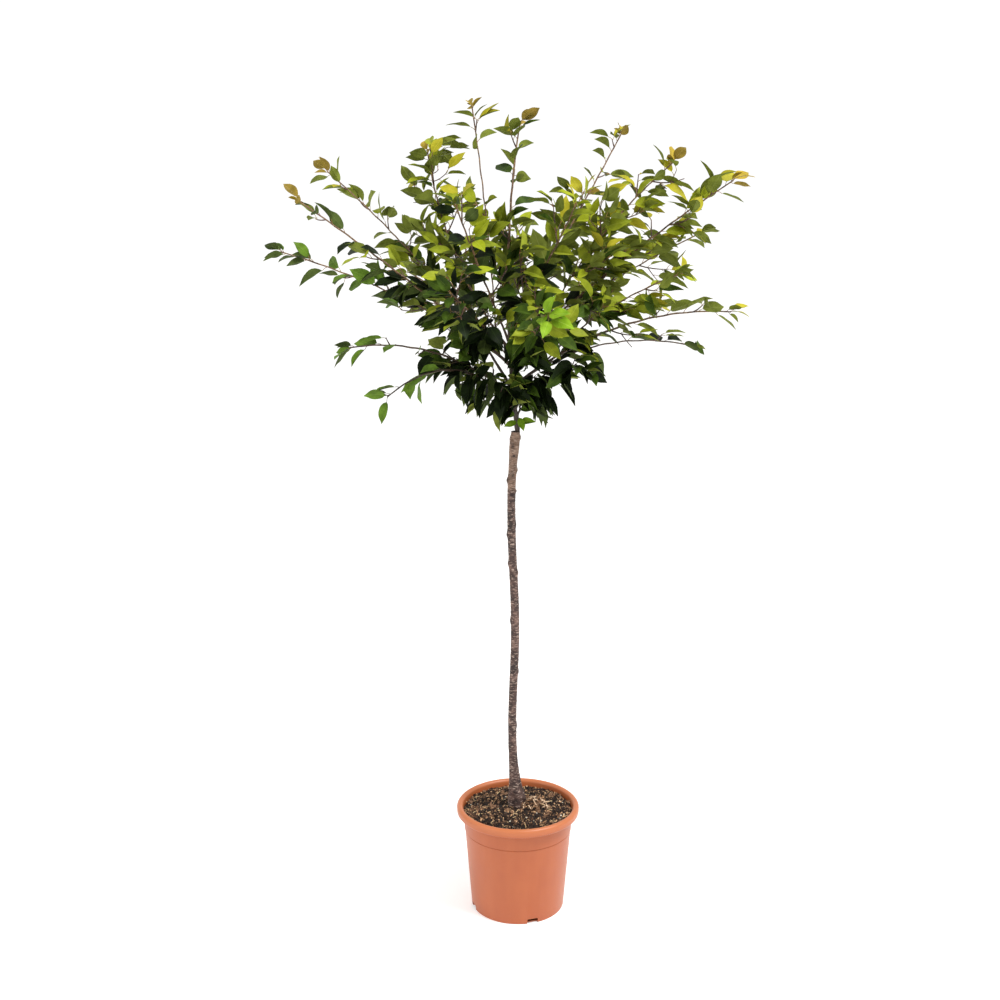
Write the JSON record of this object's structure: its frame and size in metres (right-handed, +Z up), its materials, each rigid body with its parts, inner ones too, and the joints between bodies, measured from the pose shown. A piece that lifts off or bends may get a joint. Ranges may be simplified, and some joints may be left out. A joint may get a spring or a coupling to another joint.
{
  "type": "potted cherry tree",
  "caption": "Young ornamental cherry grown as a standard: a slender clear stem under an open, spreading crown of leafy shoots, in a tapered plastic pot of compost.",
  "frame": {"origin": "centre of the pot's flat underside", "axes": "+Z up, along the stem; -Y is the side the picture shows and +X is to its right"},
  "size_m": [1.0452, 0.8722, 1.8712],
  "materials": {
    "terracotta_plastic": "satin moulded polypropylene, terracotta coloured",
    "compost": "coarse moist potting compost with bark and fibre",
    "cherry_bark": "grey-brown young bark with level pores",
    "cherry_leaf": "slightly glossy green leaf, paler underneath"
  },
  "bodies": {
    "root": {"pot": "terracotta_plastic", "soil": "compost", "trunk": "cherry_bark", "bough_leader": "cherry_bark", "bough_left_crest": "cherry_bark", "bough_left_top": "cherry_bark", "bough_left_arm": "cherry_bark", "bough_left_mid": "cherry_bark", "bough_left_high": "cherry_bark", "bough_left_low": "cherry_bark", "bough_left_hanging": "cherry_bark", "bough_right_arm": "cherry_bark", "bough_right_low": "cherry_bark", "bough_right_front": "cherry_bark", "bough_right_crest": "cherry_bark", "bough_right_back": "cherry_bark", "bough_right_high": "cherry_bark", "bough_right_top": "cherry_bark", "bough_front_arm": "cherry_bark", "bough_front_right": "cherry_bark", "bough_front_left": "cherry_bark", "bough_front_high": "cherry_bark", "bough_front_crest": "cherry_bark", "bough_back_arm": "cherry_bark", "bough_back_right": "cherry_bark", "bough_back_high": "cherry_bark", "bough_back_left": "cherry_bark", "bough_low_front": "cherry_bark", "bough_low_right": "cherry_bark", "bough_low_back": "cherry_bark", "bough_low_left": "cherry_bark", "foliage_leader": "cherry_leaf", "foliage_left_crest": "cherry_leaf", "foliage_left_top": "cherry_leaf", "foliage_left_arm": "cherry_leaf", "foliage_left_mid": "cherry_leaf", "foliage_left_high": "cherry_leaf", "foliage_left_low": "cherry_leaf", "foliage_left_hanging": "cherry_leaf", "foliage_right_arm": "cherry_leaf", "foliage_right_low": "cherry_leaf", "foliage_right_front": "cherry_leaf", "foliage_right_crest": "cherry_leaf", "foliage_right_back": "cherry_leaf", "foliage_right_high": "cherry_leaf", "foliage_right_top": "cherry_leaf", "foliage_front_arm": "cherry_leaf", "foliage_front_right": "cherry_leaf", "foliage_front_left": "cherry_leaf", "foliage_front_high": "cherry_leaf", "foliage_front_crest": "cherry_leaf", "foliage_back_arm": "cherry_leaf", "foliage_back_right": "cherry_leaf", "foliage_back_high": "cherry_leaf", "foliage_back_left": "cherry_leaf", "foliage_low_front": "cherry_leaf", "foliage_low_right": "cherry_leaf", "foliage_low_back": "cherry_leaf", "foliage_low_left": "cherry_leaf"}
  },
  "joints": []
}
